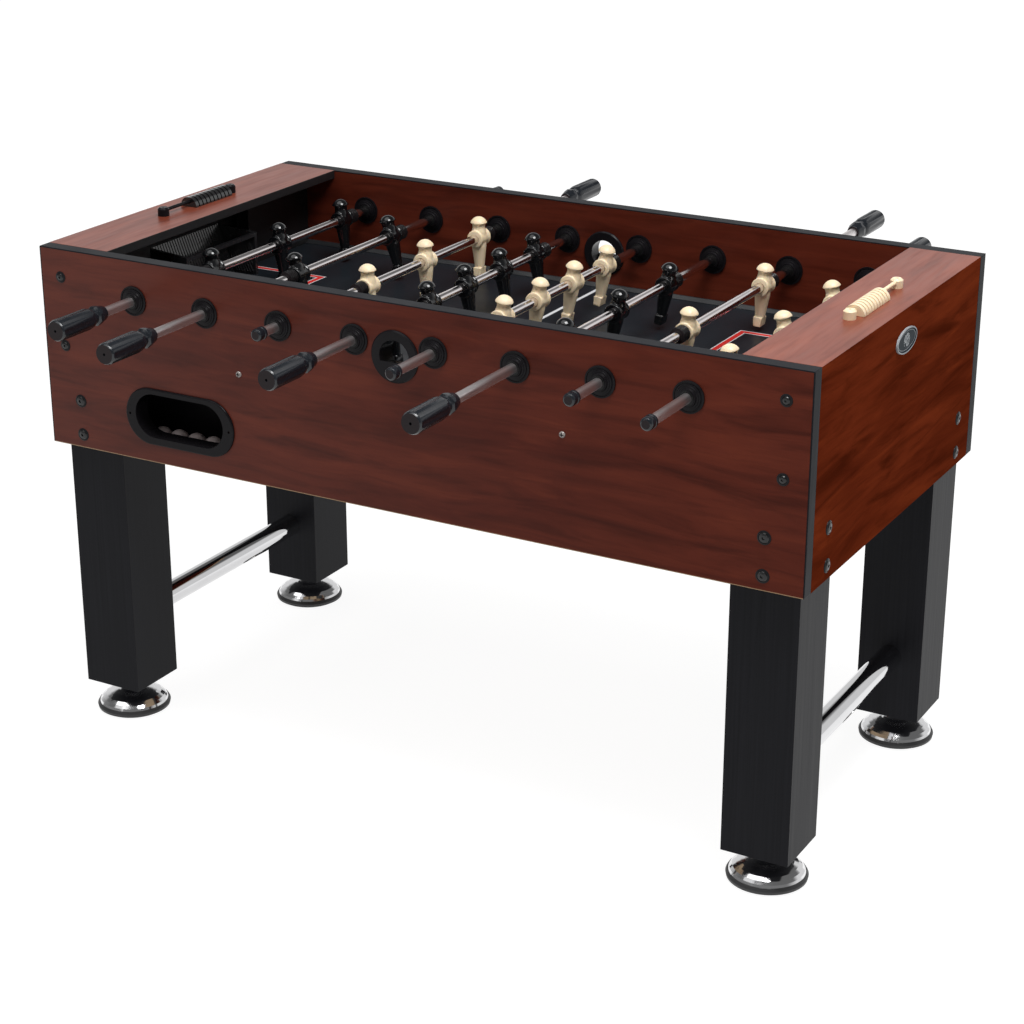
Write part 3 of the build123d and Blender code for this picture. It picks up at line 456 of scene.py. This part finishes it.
# One finish for each material slot of the CAD.
FINISHES = {
    # The long panels get a painted sheen, strong at the left end and fading towards the right.
    "wood_side": laminate(
        "mahogany_side", "X", SIDE_LIGHT, SIDE_DARK, 0.36, (0.19, 0.07), contrast=0.95, edge="sawn"
    ),
    "wood_end": laminate("mahogany_end", "Y", END_LIGHT, END_DARK, 0.42, 0.0),
    "wood_deck": laminate(
        "mahogany_deck", "Y", DECK_LIGHT, DECK_DARK, 0.34, 0.5, contrast=0.7, edge="black"
    ),
    "edge_band": moulded("edge_band", BAND_BLACK, 0.4, grain=500.0, specular=0.04),
    "black_board": black_laminate("black_board", "Y", BOARD_BLACK, 0.4, 0.3),
    "field": field_finish("playing_board"),
    "edge_strip": moulded("edge_strip", STRIP_BLACK, 0.42, grain=500.0, specular=0.4),
    "black_moulding": moulded("black_moulding", MOULDING_BLACK, 0.24, specular=0.1),
    "plain_board": bare_board("plain_board"),
    "ball": moulded("ball", BALL_PINK, 0.4, grain=300.0, depth=0.15),
    "nylon": moulded("nylon_bush", NYLON_BLACK, 0.36, specular=0.2),
    "cream_moulding": cream("cream_moulding", 0.4),
    "black_bead": moulded("black_bead", BEAD_BLACK, 0.15, depth=0.05, coat=0.8),
    "cream_bead": cream("cream_bead", 0.38),
    "badge": badge_finish("badge_plate"),
    "black_laminate": black_laminate("black_laminate", "Z", LEG_BLACK, 0.4, 0.08),
    "chrome_tube": chrome("chrome_tube", TUBE_CHROME, 0.04),
    "chrome_foot": foot_finish("levelling_foot"),
    "chrome_rod": chrome("chrome_rod", ROD_CHROME, 0.13, handled=0.21),
    "black_steel": bolt_finish("bolt_steel"),
    "black_player": moulded(
        "black_player", PLAYER_BLACK, 0.13, grain=300.0, specular=0.4, depth=0.03, coat=0.25
    ),
    "cream_player": cream("cream_player", 0.36),
    "black_grip": rubber("black_grip", GRIP_BLACK, 0.22, 0.5),
    "rubber": rubber("ribbed_rubber", RUBBER_BLACK, 0.22, 0.3),
}
# The goals are glossier than the other black mouldings.
GOAL_FINISH = moulded("goal_moulding", GOAL_BLACK, 0.26, specular=0.8, depth=0.03, coat=0.6)
RING_FINISH = moulded("ring_steel", RING_BLACK, 0.3, grain=500.0, specular=0.1)

SLOTS = {part["node"]: part["material_slot"] for part in frame["record"]["subparts"]}
for node_name, part in NODES.items():
    part.data.materials.clear()
    part.data.materials.append(GOAL_FINISH if node_name == "goals" else FINISHES[SLOTS[node_name]])


# ---- shapes -------------------------------------------------------------------------------
def soften(part):
    """Blend a moulded CAD piece's creases: fine remesh, relax, thin out again."""
    remesh = part.modifiers.new("skin", "REMESH")
    remesh.mode = "VOXEL"
    remesh.voxel_size = PLAYER_VOXEL
    remesh.use_smooth_shade = True
    relax = part.modifiers.new("relax", "SMOOTH")
    relax.factor = 0.5
    relax.iterations = 3
    thin = part.modifiers.new("thin", "DECIMATE")
    thin.ratio = 0.3


def round_edges(part, width, angle):
    """Small rounded arrises on a CAD piece, along edges sharper than the angle in degrees."""
    weld = part.modifiers.new("weld", "WELD")
    weld.merge_threshold = 0.00001
    bevel = part.modifiers.new("arris", "BEVEL")
    bevel.width = width
    bevel.segments = 2
    bevel.limit_method = "ANGLE"
    bevel.angle_limit = math.radians(angle)
    bevel.harden_normals = True


for node_name, part in NODES.items():
    if node_name.endswith("_men"):
        soften(part)
    elif node_name.endswith("_grip_and_cap"):
        round_edges(part, GRIP_ARRIS, 25.0)
for node_name in ("edge_bands", "end_decks", "legs", "playfield_ramps"):
    round_edges(NODES[node_name], BOARD_ARRIS, 40.0)


def add_object(name, data):
    """New object in the scene that holds a mesh, a lamp or a camera."""
    made = bpy.data.objects.new(name, data)
    bpy.context.scene.collection.objects.link(made)
    return made


def mesh_object(name, corners, faces, material):
    """New mesh object with one material."""
    mesh = bpy.data.meshes.new(name)
    mesh.from_pydata([Vector(c) for c in corners], [], faces)
    mesh.materials.append(material)
    return add_object(name, mesh)


def washer_rings(name, places, material):
    """Dished rings under button heads. A place is (centre, outward, (head radius, ring radius))."""
    corners, faces = [], []
    up = Vector((0, 0, 1))
    steps = 40
    for centre, outward, (inner, outer) in places:
        out = Vector(outward)
        side = out.cross(up)
        # Distance from the axis and height over the panel, from inside the head round to the rim.
        profile = (
            (inner - 0.0004, 0.0), (inner - 0.0004, 0.0012), (inner + 0.0004, 0.0016),
            (outer - 0.0009, 0.0011), (outer - 0.0002, 0.0007), (outer, 0.0),
        )
        first = len(corners)
        for step in range(steps):
            turn = 2 * math.pi * step / steps
            radial = side * math.cos(turn) + up * math.sin(turn)
            corners += [Vector(centre) + radial * radius + out * height for radius, height in profile]
        count = len(profile)
        for step in range(steps):
            here, there = first + step * count, first + (step + 1) % steps * count
            for k in range(count):
                following = (k + 1) % count
                faces.append((here + k, there + k, there + following, here + following))
    made = mesh_object(name, corners, faces, material)
    for face in made.data.polygons:
        face.use_smooth = True
    made.data.set_sharp_from_angle(angle=math.radians(30))
    return made


def ring_places():
    """Every bolt head on the long panels and the ends, for washer_rings."""
    places = []
    for face_y, outward in ((FRONT_FACE, (0, -1, 0)), (BACK_FACE, (0, 1, 0))):
        for sign in (-1, 1):
            for z in PANEL_SCREW_Z:
                places.append(((sign * PANEL_SCREW_X, face_y, z), outward, PANEL_SCREW_RADII))
            for z in LEG_BOLT_Z:
                places.append(((sign * LEG_BOLT_X, face_y, z), outward, LEG_BOLT_RADII))
    low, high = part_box("end_panels")
    for face_x, sign in ((low.x, -1), (high.x, 1)):
        for y in (CABINET_Y - LEG_BOLT_Y, CABINET_Y + LEG_BOLT_Y):
            for z in LEG_BOLT_Z:
                places.append(((face_x, y, z), (sign, 0, 0), LEG_BOLT_RADII))
    return places


rings = washer_rings("bolt_rings", ring_places(), RING_FINISH)
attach(rings, "cabinet")


# ---- studio -------------------------------------------------------------------------------
LIGHTS_AIM = Vector((0, CABINET_Y, 0.7))
FLOOR_REACH = 40.0
FLOOR_GLOW = (0.92, 0.92, 0.92, 1.0)


def softbox(name, direction, distance, size, power):
    """Rectangular lamp that faces the table.

    direction is its azimuth, from the front towards the right, and its elevation, both in degrees.
    """
    light = bpy.data.lights.new(name, "AREA")
    light.shape = "RECTANGLE"
    light.size, light.size_y = size
    light.energy = power
    made = add_object(name, light)
    azimuth, elevation = (math.radians(a) for a in direction)
    level = math.cos(elevation)
    away = Vector((math.sin(azimuth) * level, -math.cos(azimuth) * level, math.sin(elevation)))
    made.location = LIGHTS_AIM + away * distance
    made.rotation_euler = away.to_track_quat("Z", "Y").to_euler()
    return made


# The floor glows, so that it is nearly white whatever falls on it and shadows stay faint.
floor_graph = Finish("studio_floor")
floor_tone = floor_graph.noise(even(0.4), detail=2.0)
floor_material = floor_graph.set(
    base_color=floor_graph.mix(floor_tone, even(0.2), even(0.22)),
    roughness=0.9,
    specular_ior_level=0.0,
    emission_color=FLOOR_GLOW,
    emission_strength=1.0,
)
floor_corners = [(x * FLOOR_REACH, y * FLOOR_REACH, 0) for x, y in ((-1, -1), (1, -1), (1, 1), (-1, 1))]
floor = mesh_object("studio_floor", floor_corners, [(0, 1, 2, 3)], floor_material)
# Matte surfaces don't see the floor: the lower half of the sky lights them from below instead.
floor.visible_diffuse = False
sun = bpy.data.lights.new("overhead", "SUN")
sun.energy = 1.0
sun.angle = math.radians(50)
sun_object = add_object("overhead", sun)
sun_object.rotation_euler = (math.radians(12), math.radians(-8), 0)
key = softbox("key", (60, 66), 3.2, (1.4, 1.4), 95)
side = softbox("left_front", (-28, 28), 4.2, (2.6, 2.2), 12)

# The room's brightness by direction: a bright back, a dim front and ceiling, and a bright floor.
SKY_BACK, SKY_FRONT, SKY_TOP, SKY_BELOW = 0.78, 0.2, 0.14, 0.74
world = bpy.data.worlds.new("studio")
world.use_nodes = True
sky = Graph(world.node_tree, "Generated")
walls = sky.ramp(sky.axis("Y"), -0.1, 0.45, SKY_FRONT, SKY_BACK)
ceiling = sky.ramp(sky.axis("Z"), 0.42, 0.52)
below = sky.math("LESS_THAN", sky.axis("Z"), 0.0)
above = sky.blend(ceiling, walls, SKY_TOP)
backdrop = world.node_tree.nodes["Background"]
backdrop.inputs["Color"].default_value = (1.0, 1.0, 1.0, 1.0)
sky.feed(backdrop.inputs["Strength"], sky.blend(below, above, SKY_BELOW))
bpy.context.scene.world = world

# ---- camera -------------------------------------------------------------------------------
# Place, direction in degrees and focal length, solved from the photograph's perspective.
CAMERA_PLACE = (1.8288, CABINET_Y - 3.2299, 1.8503)
CAMERA_AZIMUTH = 29.462
CAMERA_ELEVATION = 21.387
CAMERA_LENS = 81.33          # mm, on a sensor of 36 mm
camera = bpy.data.cameras.new("camera")
camera.sensor_width = 36.0
camera.lens = CAMERA_LENS
camera.clip_end = 100.0
camera_object = add_object("camera", camera)
camera_object.location = CAMERA_PLACE
camera_object.rotation_euler = (math.radians(90 - CAMERA_ELEVATION), 0, math.radians(CAMERA_AZIMUTH))
bpy.context.scene.camera = camera_object
bpy.context.scene.view_settings.view_transform = "Standard"
